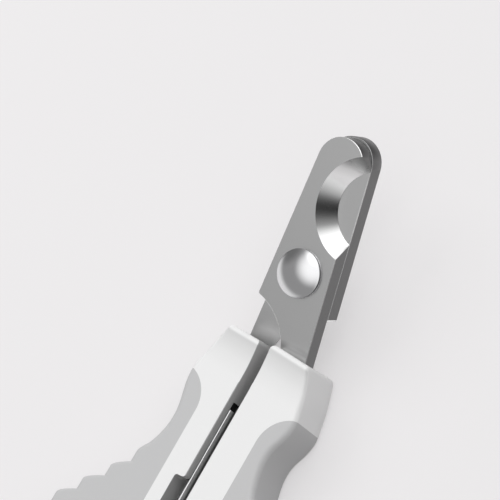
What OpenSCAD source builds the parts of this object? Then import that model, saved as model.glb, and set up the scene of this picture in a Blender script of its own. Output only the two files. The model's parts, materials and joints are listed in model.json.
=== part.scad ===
// Plier-type pet nail clipper: two crossed steel blades on a rivet, moulded
// handles with soft grips, a leaf spring, a slide-out nail file and a safety latch.
// X runs across the handles, Y from the handle ends to the blade tips, Z up from
// the flat backs of the handles. The handles are drawn closed.

/* [Blades] */
// Thickness of each blade plate
plate_t = 3.4; // [2.4:0.1:4]
// Half width of the blades at the rivet
blade_half_w = 6.5; // [6:0.1:7.5]
// Taper of each blade edge towards the tip, in degrees
blade_taper = 4.1; // [2:0.1:5]
// Distance from the rivet to the centre of the round tip
tip_reach = 21.8; // [20:0.1:26]
// Distance from the rivet to the bend of the blades
bend_reach = 15; // [14:0.1:18]
// Angle at which the head leans up from the handles, in degrees
bend_angle = 20.4; // [10:0.1:25]
// Inside radius of the bend
bend_r = 2; // [1:0.1:3]
// Distance from the rivet to the centre of the cutting notch, along the blade
notch_y = 15.35; // [14.5:0.05:16.5]
// Distance of the notch centre from the blade's middle
notch_x = 8.3; // [8:0.05:9]
// Radius of the cutting edge
notch_r = 7.5; // [6.5:0.05:7.8]
// How far the ground bevel widens the notch at the outer face
bevel_w = 2.75; // [1.5:0.05:3]
// Radius of the hollow cut where each blade narrows to its tang
throat_r = 11.6; // [10:0.1:12]
// Depth to which each tang reaches into its handle
tang_len = 34; // [32:0.5:38]

/* [Rivet] */
// Radius of the domed rivet head
dome_r = 4.7; // [4:0.1:5.2]
// Height of the domed part of the head
dome_h = 1.5; // [1:0.1:2]
// Height of the straight rim under the dome
dome_rim = 0.4; // [0.2:0.1:0.8]
// Radius of the rivet shank
shank_r = 2.5; // [2:0.05:2.8]
// Radius of the washer on the back
washer_r = 4.4; // [4:0.1:5]
// Thickness of the washer
washer_t = 0.8; // [0.5:0.1:1]

/* [Handles] */
// Length of the handles
handle_len = 95.4; // [94:0.2:104]
// Thickness of the handles
handle_t = 12; // [12:0.1:13]
// Height of the plane between the two blades above the backs
plate_z = 6.6; // [6.5:0.05:6.7]
// Gap between the two handles
handle_gap = 2.84; // [2.6:0.02:3]
// Drop from the bend to the top of the handles
top_drop = 1.6; // [1.4:0.1:2]
// Width of each handle at its top
top_w = 8.7; // [8.2:0.1:9]
// Width of each handle at its shoulder
shoulder_w = 11.6; // [11:0.1:12.4]
// Distance of the shoulder below the top
shoulder_at = 10.4; // [9:0.1:11]
// Width of each handle at its waist
waist_w = 10.05; // [9.9:0.05:11]
// Distance of the waist below the top
waist_at = 19.4; // [18.6:0.1:21]
// Greatest width of each handle
widest_w = 28; // [24:0.1:29]
// Distance of the widest place below the top
widest_at = 53.4; // [51:0.1:55]
// Width of each handle towards its end
end_w = 18; // [17:0.1:20]
// Length of the rounded end
end_round = 13; // [12:0.2:15]
// Radius of the outer front edge at the handle's top
top_edge_r = 1; // [0.8:0.1:1.4]
// Radius of the soft outer front edge along the grip
front_edge_r = 2.2; // [1.8:0.1:3.4]
// Radius of the outer back edge
back_edge_r = 1; // [0.8:0.1:2.4]
// Height of the crown across the front face
crown = 0.6; // [0:0.1:1]
// How far the front face curves up at the top
top_rise = 0.9; // [0:0.1:1.2]

/* [Grips] */
// Thickness of the soft grip over the hard core
grip_t = 2; // [1.4:0.1:2.4]
// Plain face beside the gap on the left handle
left_band = 4.7; // [4.4:0.1:5.4]
// Plain face beside the gap on the right handle
right_band = 6.7; // [6:0.1:7.2]
// Radius of the grip's curved upper and lower edges
grip_edge_r = 7; // [6:0.1:7.6]
// Distance of the grip's upper curve centre below the top
grip_from = 16.6; // [16.4:0.1:18]
// Number of finger ribs
rib_count = 5; // [3:1:5]
// Spacing of the finger ribs
rib_pitch = 4.67; // [4:0.01:4.8]
// Distance of the first rib below the top
rib_from = 26.1; // [25.4:0.1:28]

/* [Back covers] */
// Thickness of the back covers
cover_t = 1.7; // [1.5:0.05:1.8]
// Width of the housing's rim around a cover
cover_rim = 1.4; // [1.2:0.1:1.8]
// Clearance around a cover
cover_gap = 0.1; // [0.05:0.01:0.2]
// Radius of the screw shanks
screw_r = 1.2; // [1:0.05:1.3]
// Radius of the screw heads
screw_head_r = 2.2; // [2:0.05:2.3]

/* [Nail file] */
// Width of the file's back
file_w = 5.9; // [5:0.1:6.2]
// Thickness of the file
file_t = 0.9; // [0.7:0.05:1]
// Slope of the file's two edges across its thickness
file_bevel = 0.45; // [0.3:0.05:0.6]
// Depth of the file's front edge below the front face
file_drop = 2; // [1.9:0.05:2.2]
// Distance of the file's upper end below the top of the handle
file_from = 13.5; // [13:0.1:15]
// Running clearance around the file
file_gap = 0.12; // [0.08:0.01:0.16]
// Length of the pull tab at the end of the file
tab_len = 4.6; // [4:0.1:5]
// Thickness of the pull tab
tab_t = 1.9; // [1.6:0.05:2]
// Length of the finger notch that bares the file's edge
finger_len = 18; // [14:0.5:20]
// Depth of the finger notch
finger_d = 2.1; // [1.8:0.05:2.4]

/* [Leaf spring] */
// Thickness of the spring strip
leaf_t = 0.5; // [0.4:0.02:0.6]
// Width of the spring strip
leaf_w = 3.4; // [3:0.1:3.6]
// Distance of the spring's screw below the top of the handles
leaf_screw_at = 52; // [51:0.2:53]
// Free length of the spring from its foot to its tip
leaf_len = 39; // [37:0.5:40]

/* [Safety latch] */
// Thickness of the latch plate
latch_t = 2; // [1.6:0.1:2.2]
// Distance of the latch pin and the catch peg from the middle
latch_x = 5.6; // [5.4:0.05:6]
// Distance of the latch pin and the catch peg from the handle ends
latch_up = 6; // [5.6:0.1:6.6]
// Radius of the latch pin and the catch peg
pin_r = 1.25; // [1:0.05:1.3]
// Half width of the latch arm
arm_half_w = 2.4; // [2.2:0.05:2.6]
// Room around the peg in the hook
hook_gap = 0.3; // [0.25:0.05:0.4]

/* [Hidden] */
$fn = 64;

// Clearances and small allowances
slide_gap = 0.04;
turn_gap = 0.05;
seat_gap = 0.05;
slot_gap = 0.2;
file_recess = 0.08;
over = 1;

// Blades: bend radius at the plane between them, and the edge lines
pivot_bend_r = plate_t + bend_r;
bend_tangent = pivot_bend_r * tan(bend_angle / 2);
function edge_at(y) = blade_half_w - y * tan(blade_taper);
tip_swell = 0.03;
bend_steps = 10;
outline_far = 2 * (top_drop + tang_len);
edge_r = edge_at(tip_reach) * cos(blade_taper);
tip_r = edge_r + tip_swell;
bend_half_w = edge_at(bend_tangent - bend_reach);

// Tangs: a neck at the handle's top, then a shoulder that clears the file's slot
neck_wall = 0.7;
neck_d = 2.4;
tang_wall = 0.6;
screw_play = 0.3;
neck_in = handle_gap / 2 + neck_wall;
tang_in = handle_gap / 2 + file_recess + file_t + file_gap + tang_wall;
throat_x = neck_in - throat_r;
throat_drop = 3.2;
throat_y = -bend_reach - throat_drop;

// Whole part: the tips and the handle ends set its middle
tip_y = (tip_reach + tip_r + bend_reach) * cos(bend_angle) + plate_t * sin(bend_angle);
end_y = -top_drop - handle_len;
mid_y = (tip_y + end_y) / 2;

// Handle outline: d is the distance below the handle's top, widths start at the gap
wall = handle_gap / 2;
function wave(a, b, t) = a + (b - a) * (1 - cos(180 * t)) / 2;
function part_way(d, from, to) = (d - from) / (to - from);
function flank(d) =
  d < shoulder_at ? top_w + (shoulder_w - top_w) * sin(90 * d / shoulder_at) :
  d < waist_at ? wave(shoulder_w, waist_w, part_way(d, shoulder_at, waist_at)) :
  d < widest_at ? wave(waist_w, widest_w, part_way(d, waist_at, widest_at)) :
  wave(widest_w, end_w, part_way(d, widest_at, handle_len));

// Finger ribs: each swells out over a rounded riser, then runs straight; the last
// riser brings the outline back to the plain flare
riser = 0.5;
riser_power = 1.5;
rib_lead = 0.55;
riser_fs = [for (t = [0:4]) riser * t / 4];
rib_to = rib_from + rib_pitch * (rib_count + riser);
function climb(f) = f < riser ? 1 - pow(1 - f / riser, riser_power) : 1;
function tread_d(i) =
  i < 0 ? rib_from :
  i == rib_count ? rib_to :
  rib_from + rib_pitch * (i + rib_lead);
function rib_d(d) =
  let (s = (d - rib_from) / rib_pitch, i = floor(s))
  d < rib_from || d > rib_to ? d : tread_d(i - 1) + (tread_d(i) - tread_d(i - 1)) * climb(s - i);

// Rounded end: a full curve that leaves a short flat
end_flat = 0.97;
end_power = 2.5;
end_start = handle_len - end_round;
function end_share(d) =
  d < end_start ? 1 :
  pow(1 - pow(end_flat * (d - end_start) / end_round, end_power), 1 / end_power);
function outer_w(d) = flank(rib_d(d)) * end_share(d);

// Hard core under the grip: behind the deepest tread at every height
rib_lag = rib_pitch * (1 - rib_lead);
function core_w(d) = min(flank(d), flank(d - rib_lag)) - grip_t;

// Front edge: tight at the top, softer from the shoulder on
function front_r(d) =
  d < shoulder_at ? wave(top_edge_r, front_edge_r, d / shoulder_at) : front_edge_r;

// Rounding of an edge of radius r at distance e from the edge
function rounding(e, r) = e >= r ? 0 : r - sqrt(max(0, r * r - pow(r - e, 2)));
rim_r = 0.6;
end_edge_r = 2.5;
rise_len = 4.5;
function end_drop(d) = max(rounding(d, rim_r), rounding(handle_len - d, end_edge_r));
function top_lift(d) = d < rise_len ? top_rise * pow(1 - d / rise_len, 2) : 0;

// Cross sections: across the face in even steps, then round the outer edge
flat_steps = 3;
edge_steps = 5;
function across(w, from, r) = concat(
  [for (i = [0:flat_steps]) from + (w - r - from) * i / flat_steps],
  [for (i = [1:edge_steps]) w - r + r * sin(90 * i / edge_steps)]
);
function section(d, from, w, skin, foot, r_front, r_back) = let (
  xs_front = across(w, from, r_front),
  xs_back = across(w, from, r_back),
  n = len(xs_front) - 1,
  front = handle_t + top_lift(d) - skin
) concat(
  [for (x = xs_front)
    [wall + x, -d, front - crown * pow(x / flank(d), 2) - max(rounding(w - x, r_front), end_drop(d))]],
  [for (i = [n:-1:0])
    [wall + xs_back[i], -d, foot + max(rounding(w - xs_back[i], r_back), end_drop(d))]]
);

// A solid through a row of sections of equal point counts
module loft(rows) {
  n = len(rows[0]);
  last = len(rows) - 1;
  rungs = n / 2 - 1;
  faces = concat(
    [for (i = [0:rungs - 1]) [i, n - 2 - i, i + 1]],
    [for (i = [0:rungs - 1]) [i, n - 1 - i, n - 2 - i]],
    [for (i = [0:rungs - 1]) [last * n + i, last * n + i + 1, last * n + n - 2 - i]],
    [for (i = [0:rungs - 1]) [last * n + i, last * n + n - 2 - i, last * n + n - 1 - i]],
    [for (k = [0:last - 1], i = [0:n - 1]) [k * n + i, (k + 1) * n + (i + 1) % n, (k + 1) * n + i]],
    [for (k = [0:last - 1], i = [0:n - 1]) [k * n + i, k * n + (i + 1) % n, (k + 1) * n + (i + 1) % n]]
  );
  polyhedron(points = [for (row = rows) each row], faces = faces);
}

function spread(from, to, count) = [for (i = [0:count - 1]) from + (to - from) * i / count];
form_ds = concat(
  [0, rim_r * 0.3, rim_r],
  spread(rim_r * 2.5, rib_from, 11),
  [for (i = [0:rib_count], f = riser_fs) rib_from + rib_pitch * (i + f)],
  [for (i = [1:6]) rib_to + (end_start - rib_to) * i / 7],
  [for (t = [0, 0.3, 0.5, 0.65, 0.78, 0.88, 0.95, 1]) end_start + end_round * t]
);

// Grip: its place along the handle, and the core beneath it
grip_end = 20;
grip_to = handle_len - grip_end;
grip_foot = 0.9;
arc_steps = 12;
core_in = 3;
core_over = 1.2;
core_top = grip_from - grip_edge_r - core_over;
core_end = grip_to + grip_edge_r + core_over;
core_edge_r = 0.8;
core_ds = concat(spread(core_top, core_end, 18), [core_end]);

// Back cover outline and the screws through it
cover_top = 3;
cover_end_band = 14;
cover_end = handle_len - cover_end_band;
cover_wall = 0.5;
tang_mid = (tang_in + bend_half_w) / 2;
tang_screw_top = 10;
tang_screw_foot = 7;
tang_screw_ds = [tang_screw_top, tang_len - tang_screw_foot];
cover_screw_ins = [5, 9];
cover_screw_below = 10;
cover_screw_up = 17;
cover_screw_ds = [leaf_screw_at + cover_screw_below, handle_len - cover_screw_up];
cover_screws = [for (i = [0, 1]) [cover_screw_ins[i], cover_screw_ds[i]]];
screw_head_h = 1.2;
cover_screw_reach = 7;
left_screw_reach = 9;
right_screw_reach = 10.9;
screw_inset = 0.2;
function cover_ds(inset) = [for (i = [0:16]) cover_top - inset + (cover_end - cover_top + 2 * inset) * i / 16];
function cover_w(d) = min(flank(d) - back_edge_r - cover_rim, core_w(d) - cover_wall);
function cover_outline(inset) = concat(
  [for (d = cover_ds(inset)) [wall + cover_w(d) + inset, -d]],
  [[wall + cover_rim - inset, -cover_end - inset], [wall + cover_rim - inset, -cover_top + inset]]
);

// Hollow behind the cover in the wide part of a handle
hollow_in = 7;
hollow_from = 42;
hollow_end = 22;
hollow_to = handle_len - hollow_end;
hollow_wall = 2.6;
hollow_roof = 2.5;
hollow_ds = [for (i = [0:10]) hollow_from + (hollow_to - hollow_from) * i / 10];
hollow_outline = concat(
  [for (d = hollow_ds) [wall + core_w(d) - hollow_wall, -d]],
  [[wall + hollow_in, -hollow_to], [wall + hollow_in, -hollow_from]]
);

// File: its place on the left handle's inner wall
file_front_z = handle_t - file_drop;
file_mid_z = file_front_z + file_bevel - file_w / 2;
slot_lead = 1.5;
slot_from = file_from - slot_lead;
tab_from = handle_len - tab_len;
tab_w = file_w - 2 * file_bevel;
finger_from = 28.7;
finger_r = 0.6;
finger_below = 1.4;
finger_z = file_front_z - finger_below;

// Spring: its foot in the right wall, and the arc that carries its tip over the gap
leaf_z = 4.1;
foot_half = 5;
foot_gap = 1;
leaf_sink = 0.65;
leaf_straight = 4;
leaf_tip_gap = 0.07;
leaf_foot_x = wall + leaf_sink;
leaf_from = leaf_screw_at - leaf_straight;
leaf_tip_x = -wall + leaf_t / 2 + leaf_tip_gap;
leaf_arc_r = leaf_len * leaf_len / (2 * (leaf_foot_x - leaf_tip_x));
leaf_turn = leaf_len / leaf_arc_r * 180 / PI;
leaf_steps = 14;
leaf_recess_d = leaf_foot_x + leaf_t / 2 - wall + seat_gap;
leaf_recess_top = leaf_from - sqrt(2 * leaf_arc_r * (leaf_recess_d + leaf_t));
leaf_screw_r = 1.1;
leaf_screw_len = 5;
leaf_head_r = leaf_w / 2 + turn_gap;
leaf_head_h = 0.8;

// Stop pad that meets the other handle when the blades are shut
pad_at = 66;
pad_len = 6;
pad_z = 1.7;
pad_h = 2.4;
pad_gap = 0.15;

// Latch: its level, its pin and the reach of its hook
latch_z = 2.2;
latch_d = handle_len - latch_up;
latch_reach = 2 * latch_x;
hook_r = pin_r + hook_gap;
hook_lip = 1.3;
eye_wall = 0.6;
end_slot_room = 0.8;
hook_end = latch_reach + hook_r + hook_lip;
end_slot_d = latch_d - arm_half_w - end_slot_room;
pin_len = 8;
peg_len = 4.8;

// Places in the part
module in_part() {
  translate([0, -mid_y, 0]) children();
}

module in_head() {
  in_part() translate([0, 0, plate_z]) rotate([bend_angle, 0, 0]) translate([0, bend_reach, 0]) children();
}

module in_handle() {
  in_part() translate([0, -top_drop, 0]) children();
}

module side(left) {
  mirror([left ? 1 : 0, 0, 0]) children();
}

// One blade's side view at height z: tang, bend and flat head in one strip
function bend_point(z, a) =
  [-bend_tangent + (pivot_bend_r - z) * sin(a), pivot_bend_r - (pivot_bend_r - z) * cos(a)];
function strip_end(z) = let (y = bend_reach + tip_reach + tip_r + over)
  [y * cos(bend_angle) - z * sin(bend_angle), y * sin(bend_angle) + z * cos(bend_angle)];
function strip_bend(z) = [for (i = [0:bend_steps]) bend_point(z, bend_angle * i / bend_steps)];
function strip_line(z) = concat([[-top_drop - tang_len, z]], strip_bend(z), [strip_end(z)]);
function reverse(list) = [for (i = [len(list) - 1:-1:0]) list[i]];

module blade_strip(z) {
  translate([-bend_half_w - over, 0, plate_z]) rotate([90, 0, 90]) linear_extrude(2 * bend_half_w + 2 * over)
    polygon(concat(strip_line(z), reverse(strip_line(z + plate_t))));
}

// The blade's outline, looking square on the head, straight below the bend
module blade_outline() {
  polygon([
    [-bend_half_w, -bend_reach - outline_far],
    [bend_half_w, -bend_reach - outline_far],
    [bend_half_w, bend_tangent - bend_reach],
    [edge_r * cos(blade_taper), tip_reach + edge_r * sin(blade_taper)],
    [-edge_r * cos(blade_taper), tip_reach + edge_r * sin(blade_taper)],
    [-bend_half_w, bend_tangent - bend_reach]
  ]);
  translate([0, tip_reach]) circle(tip_r);
}

// What is cut away below the bend to leave a neck and a tang on one side
module tang_relief() {
  for (cut = [[neck_in, top_drop - bend_tangent], [tang_in, -neck_d]]) {
    translate([-bend_half_w - 2 * over, -tang_len - over, 0])
      cube([bend_half_w + 2 * over + cut[0], tang_len + over + cut[1], handle_t]);
  }
  for (d = tang_screw_ds) {
    translate([tang_mid, -d, -over]) cylinder(r = screw_r + screw_play, h = handle_t + 2 * over);
  }
}

// The pocket that holds the tang
module tang_pocket(z) {
  rise = top_drop - bend_tangent + over;
  for (piece = [[tang_in, tang_len], [neck_in, neck_d]]) {
    translate([piece[0] - turn_gap, -piece[1] - turn_gap, plate_z + z - turn_gap])
      cube([bend_half_w - piece[0] + 2 * turn_gap, piece[1] + rise + turn_gap, plate_t + 2 * turn_gap]);
  }
}

// A whole blade; flip puts the bevel on the back
module blade(z, flip, bore) {
  bevel_slope = bevel_w / plate_t;
  difference() {
    intersection() {
      in_part() blade_strip(z);
      in_head() translate([0, 0, -outline_far]) linear_extrude(2 * outline_far) blade_outline();
    }
    in_handle() tang_relief();
    in_head() {
      translate([0, 0, -2 * plate_t]) cylinder(r = bore, h = 4 * plate_t);
      translate([throat_x, throat_y, -2 * throat_r]) cylinder(r = throat_r, h = 4 * throat_r, $fn = 128);
      translate([notch_x, notch_y, flip ? z + plate_t : z]) mirror([0, 0, flip ? 1 : 0])
        translate([0, 0, -over])
          cylinder(
            r1 = notch_r - over * bevel_slope,
            r2 = notch_r + (plate_t + over) * bevel_slope,
            h = plate_t + 2 * over,
            $fn = 128
          );
    }
  }
}

// A low dome on a straight rim, standing on z = 0
module dome(r, rim, h) {
  ball_r = (r * r + h * h) / (2 * h);
  cylinder(r = r, h = rim);
  intersection() {
    translate([0, 0, rim]) cylinder(r = r, h = h);
    translate([0, 0, rim + h - ball_r]) sphere(ball_r);
  }
}

module handle_form() {
  loft([for (d = form_ds) section(d, 0, outer_w(d), 0, 0, front_r(d), back_edge_r)]);
}

module grip_core() {
  loft([for (d = core_ds) section(d, core_in, core_w(d), grip_t, grip_foot / 2, core_edge_r, core_edge_r)]);
}

// Everything outside the curved edge between plain face and grip
function zone_curve(d, from, to) =
  [for (i = [0:arc_steps]) let (a = from + (to - from) * i / arc_steps)
    [grip_edge_r - grip_edge_r * sin(a), -d + grip_edge_r * cos(a)]];

module grip_zone(band) {
  far = widest_w + grip_edge_r;
  translate([wall + band, 0, grip_foot]) linear_extrude(2 * handle_t) polygon(concat(
    [[far, -grip_from + grip_edge_r]],
    zone_curve(grip_from, 0, 90),
    zone_curve(grip_to, 90, 180),
    [[far, -grip_to - grip_edge_r]]
  ));
}

module housing_body(band) {
  difference() {
    handle_form();
    grip_zone(band);
  }
  grip_core();
}

module grip_body(band) {
  difference() {
    intersection() {
      handle_form();
      grip_zone(band);
    }
    grip_core();
  }
}

module screw(reach) {
  translate([0, 0, screw_inset]) cylinder(r = screw_head_r, h = screw_head_h);
  translate([0, 0, screw_inset + screw_head_h]) cylinder(r = screw_r, h = reach - screw_inset - screw_head_h);
}

module screw_hole(r, reach) {
  translate([0, 0, -over]) cylinder(r = r, h = reach + over);
}

// Cuts that both housings share: cover seat, hollow, tang pocket, screws and end slot
module housing_cuts(tang_z, screw_reach) {
  translate([0, 0, -over]) linear_extrude(cover_t + over) polygon(cover_outline(cover_gap));
  translate([0, 0, cover_t - over]) linear_extrude(handle_t - cover_t - hollow_roof + over) polygon(hollow_outline);
  tang_pocket(tang_z);
  for (d = tang_screw_ds) {
    translate([tang_mid, -d, 0]) screw_hole(screw_r + turn_gap, screw_reach + turn_gap);
  }
  for (p = cover_screws) {
    translate([wall + p[0], -p[1], 0]) screw_hole(screw_r + turn_gap, cover_screw_reach + turn_gap);
  }
  translate([-over, -handle_len - over, latch_z - slot_gap])
    cube([2 * widest_w, handle_len - end_slot_d + over, latch_t + 2 * slot_gap]);
}

module cover_plate() {
  difference() {
    linear_extrude(cover_t) polygon(cover_outline(0));
    for (d = tang_screw_ds) {
      translate([tang_mid, -d, 0]) cover_hole();
    }
    for (p = cover_screws) {
      translate([wall + p[0], -p[1], 0]) cover_hole();
    }
  }
}

module cover_hole() {
  screw_hole(screw_r + turn_gap, handle_t);
  screw_hole(screw_head_r + turn_gap, screw_inset + screw_head_h);
}

// File section across its thickness, wider at the back; grow widens it to a slot
module file_profile(grow) {
  half = file_w / 2 + grow;
  translate([-wall - file_recess - file_t - grow, file_mid_z])
    polygon([
      [0, -half],
      [file_t + grow, -half + file_bevel],
      [file_t + grow + (grow > 0 ? over : 0), -half + file_bevel],
      [file_t + grow + (grow > 0 ? over : 0), half - file_bevel],
      [file_t + grow, half - file_bevel],
      [0, half]
    ]);
}

module file_bar(from, to, grow) {
  translate([0, -from, 0]) rotate([90, 0, 0]) linear_extrude(to - from) file_profile(grow);
}

module front_blade() {
  color("silver") blade(slide_gap, false, shank_r + turn_gap);
}

module rear_blade() {
  color("gainsboro") mirror([1, 0, 0]) blade(-plate_t, true, shank_r);
}

module pivot_rivet() {
  color("whitesmoke") in_head() {
    translate([0, 0, plate_t + slide_gap + seat_gap]) dome(dome_r, dome_rim, dome_h);
    translate([0, 0, -plate_t - washer_t]) cylinder(r = shank_r, h = 2 * plate_t + washer_t + slide_gap + seat_gap);
    translate([0, 0, -plate_t - washer_t]) mirror([0, 0, 1]) dome(washer_r * 0.8, dome_rim / 2, dome_h / 2);
  }
}

module rivet_washer() {
  color("silver") in_head() translate([0, 0, -plate_t - washer_t]) difference() {
    cylinder(r = washer_r, h = washer_t);
    translate([0, 0, -over]) cylinder(r = shank_r, h = washer_t + 2 * over);
  }
}

module left_housing() {
  color("white") in_handle() difference() {
    side(true) difference() {
      housing_body(left_band);
      housing_cuts(-plate_t, left_screw_reach);
      translate([0, -handle_len - over, 0]) peg_hole(peg_len);
    }
    file_bar(slot_from, handle_len + over, file_gap);
    translate([-wall - tab_t - file_gap, -handle_len - over, file_mid_z - tab_w / 2 - file_gap])
      cube([2 * tab_t, tab_len + over + file_gap, tab_w + 2 * file_gap]);
    translate([-wall - finger_d, -finger_from - finger_len, finger_z]) linear_extrude(handle_t) finger_outline();
  }
}

module peg_hole(reach) {
  translate([latch_x, handle_len + over - latch_d, -over]) cylinder(r = pin_r + turn_gap / 2, h = reach + over);
}

module finger_outline() {
  translate([finger_r, finger_r]) circle(finger_r);
  translate([finger_r, finger_len - finger_r]) circle(finger_r);
  translate([0, finger_r]) square([2 * finger_d, finger_len - 2 * finger_r]);
  translate([finger_r, 0]) square([2 * finger_d, finger_len]);
}

module right_housing() {
  color("white") in_handle() {
    difference() {
      housing_body(right_band);
      housing_cuts(slide_gap, right_screw_reach);
      translate([0, -handle_len - over, 0]) peg_hole(pin_len);
      translate([wall - over, -leaf_screw_at - foot_half - foot_gap, leaf_z - leaf_w / 2 - slot_gap])
        cube([leaf_recess_d + over, leaf_screw_at + foot_half + foot_gap - leaf_recess_top, leaf_w + 2 * slot_gap]);
      translate([wall - over, -leaf_screw_at, leaf_z]) rotate([0, 90, 0])
        cylinder(r = leaf_screw_r + turn_gap, h = leaf_recess_d + leaf_screw_len + over);
    }
    translate([pad_gap - wall, -pad_at - pad_len / 2, pad_z]) cube([2 * wall - pad_gap + over, pad_len, pad_h]);
  }
}

module left_grip() {
  color("silver") in_handle() side(true) grip_body(left_band);
}

module right_grip() {
  color("silver") in_handle() grip_body(right_band);
}

module left_back_cover() {
  color("gainsboro") in_handle() side(true) cover_plate();
}

module right_back_cover() {
  color("gainsboro") in_handle() cover_plate();
}

module tang_screws(reach) {
  for (d = tang_screw_ds) {
    translate([tang_mid, -d, 0]) screw(reach);
  }
}

module cover_screw_pair() {
  for (p = cover_screws) {
    translate([wall + p[0], -p[1], 0]) screw(cover_screw_reach);
  }
}

module left_tang_screws() {
  color("dimgray") in_handle() side(true) tang_screws(left_screw_reach);
}

module right_tang_screws() {
  color("dimgray") in_handle() tang_screws(right_screw_reach);
}

module left_cover_screws() {
  color("dimgray") in_handle() side(true) cover_screw_pair();
}

module right_cover_screws() {
  color("dimgray") in_handle() cover_screw_pair();
}

// Spring strip: a straight foot, then an arc that crosses the gap
function leaf_point(t, side) = let (a = leaf_turn * t, r = leaf_arc_r + side * leaf_t / 2)
  [leaf_foot_x - leaf_arc_r + r * cos(a), r * sin(a) - leaf_from];

module leaf_spring() {
  foot_end = -leaf_screw_at - foot_half;
  color("lightsteelblue") in_handle() translate([0, 0, leaf_z - leaf_w / 2]) difference() {
    linear_extrude(leaf_w) polygon(concat(
      [[leaf_foot_x - leaf_t / 2, foot_end], [leaf_foot_x + leaf_t / 2, foot_end]],
      [for (i = [0:leaf_steps]) leaf_point(i / leaf_steps, 1)],
      [for (i = [leaf_steps:-1:0]) leaf_point(i / leaf_steps, -1)]
    ));
    translate([0, -leaf_screw_at, leaf_w / 2]) rotate([0, 90, 0])
      cylinder(r = leaf_screw_r + turn_gap, h = 2 * leaf_foot_x);
  }
}

module spring_screw() {
  color("dimgray") in_handle() translate([leaf_foot_x - leaf_t / 2, -leaf_screw_at, leaf_z]) rotate([0, 90, 0]) {
    translate([0, 0, -leaf_head_h]) cylinder(r = leaf_head_r, h = leaf_head_h);
    cylinder(r = leaf_screw_r, h = leaf_screw_len);
  }
}

module nail_file() {
  color("silver") in_handle() file_bar(file_from, tab_from, 0);
}

module file_tab() {
  color("gray") in_handle()
    translate([-wall - tab_t, -handle_len + file_gap, file_mid_z - tab_w / 2])
      cube([tab_t - file_recess, tab_len - file_gap, tab_w]);
}

// Latch drawn swung back into the right handle; its hook turns down and over to the peg
module latch_outline() {
  difference() {
    union() {
      circle(arm_half_w + eye_wall);
      translate([0, -arm_half_w]) square([hook_end - arm_half_w, 2 * arm_half_w]);
      translate([hook_end - arm_half_w, 0]) circle(arm_half_w);
    }
    circle(pin_r + turn_gap);
    intersection() {
      difference() {
        circle(latch_reach + hook_r, $fn = 128);
        circle(latch_reach - hook_r, $fn = 128);
      }
      translate([0, -2 * hook_end]) square([2 * hook_end, 2 * hook_end]);
    }
    translate([latch_reach, 0]) circle(hook_r);
  }
}

module safety_latch() {
  color("gray") in_handle() translate([latch_x, -latch_d, latch_z]) linear_extrude(latch_t) latch_outline();
}

module latch_pin() {
  color("silver") in_handle() translate([latch_x, -latch_d, 0]) cylinder(r = pin_r, h = pin_len);
}

module catch_peg() {
  color("silver") in_handle() translate([-latch_x, -latch_d, 0]) cylinder(r = pin_r, h = peg_len);
}

front_blade();
rear_blade();
pivot_rivet();
rivet_washer();
left_housing();
right_housing();
left_grip();
right_grip();
left_back_cover();
right_back_cover();
left_tang_screws();
right_tang_screws();
left_cover_screws();
right_cover_screws();
leaf_spring();
spring_screw();
nail_file();
file_tab();
safety_latch();
latch_pin();
catch_peg();
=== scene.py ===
"""Looks of the plier-type pet nail clipper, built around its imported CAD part."""

import json
import math

import bmesh
import bpy
from mathutils import Matrix, Vector


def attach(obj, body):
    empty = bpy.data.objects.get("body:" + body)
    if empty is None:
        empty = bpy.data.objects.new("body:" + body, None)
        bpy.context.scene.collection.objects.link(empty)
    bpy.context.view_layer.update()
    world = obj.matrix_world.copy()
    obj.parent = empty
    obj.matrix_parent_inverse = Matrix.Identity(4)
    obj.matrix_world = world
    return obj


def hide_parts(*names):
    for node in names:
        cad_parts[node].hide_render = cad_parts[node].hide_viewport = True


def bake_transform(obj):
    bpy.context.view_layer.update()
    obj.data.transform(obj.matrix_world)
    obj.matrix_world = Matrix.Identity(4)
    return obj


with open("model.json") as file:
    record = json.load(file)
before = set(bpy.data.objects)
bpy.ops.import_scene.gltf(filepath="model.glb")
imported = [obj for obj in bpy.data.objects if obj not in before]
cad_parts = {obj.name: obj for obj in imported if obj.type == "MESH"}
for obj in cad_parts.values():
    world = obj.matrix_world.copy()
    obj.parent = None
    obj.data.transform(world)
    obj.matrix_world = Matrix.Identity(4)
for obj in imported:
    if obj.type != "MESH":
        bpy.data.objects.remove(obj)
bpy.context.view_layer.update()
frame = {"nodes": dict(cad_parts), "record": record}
nodes = frame["nodes"]

MM = 0.001

# Sizes are in millimetres. They start from the part's source, and what the photograph shows is fitted closer to it.

# The plates lie flat in the handles, and their head leans up from a bend
HANDLE_TOP = 26.740
PLATE, PLATE_LEVEL, SLIDE_GAP = 3.4, 5.485, 0.04
LEAN = math.radians(20.4)
BEND_AT, BEND_REACH, BEND_R = 25.341, 18.2, PLATE + 2
BEND_START = BEND_AT - BEND_R * math.tan(LEAN / 2)
BEND_END = BEND_AT - BEND_START - BEND_REACH
TANG_LEN = 34
NECK_IN, TANG_IN, NECK_LEN = 2.12, 3.12, 2.4

# The head seen square on, measured from the rivet
BLADE_HALF_W, TAPER = 6.5, math.radians(4.1)
FRONT_TIP, REAR_TIP = 21.8, 22.2
NOTCH_X, NOTCH_Y, NOTCH_R, BEVEL_W = 8.38, 15.28, 7.56, 2.78
THROAT_X, THROAT_Y, THROAT_R, SHOULDER_R = -9.48, -18.2, 11.6, 0.45
EDGE_ROUNDING = 0.12

# The rivet, its dome on the front and its smaller tail on the washer at the back
SHANK_R, BORE_GAP, SEAT_GAP = 2.5, 0.05, 0.05
DOME_R, DOME_H, DOME_RIM = 4.62, 1.2, 0.65
RIM_UNDER, RIM_BREAK = 0.12, 0.1
TAIL_R, TAIL_H, TAIL_RIM, WASHER = 3.52, 0.75, 0.2, 0.8

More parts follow.
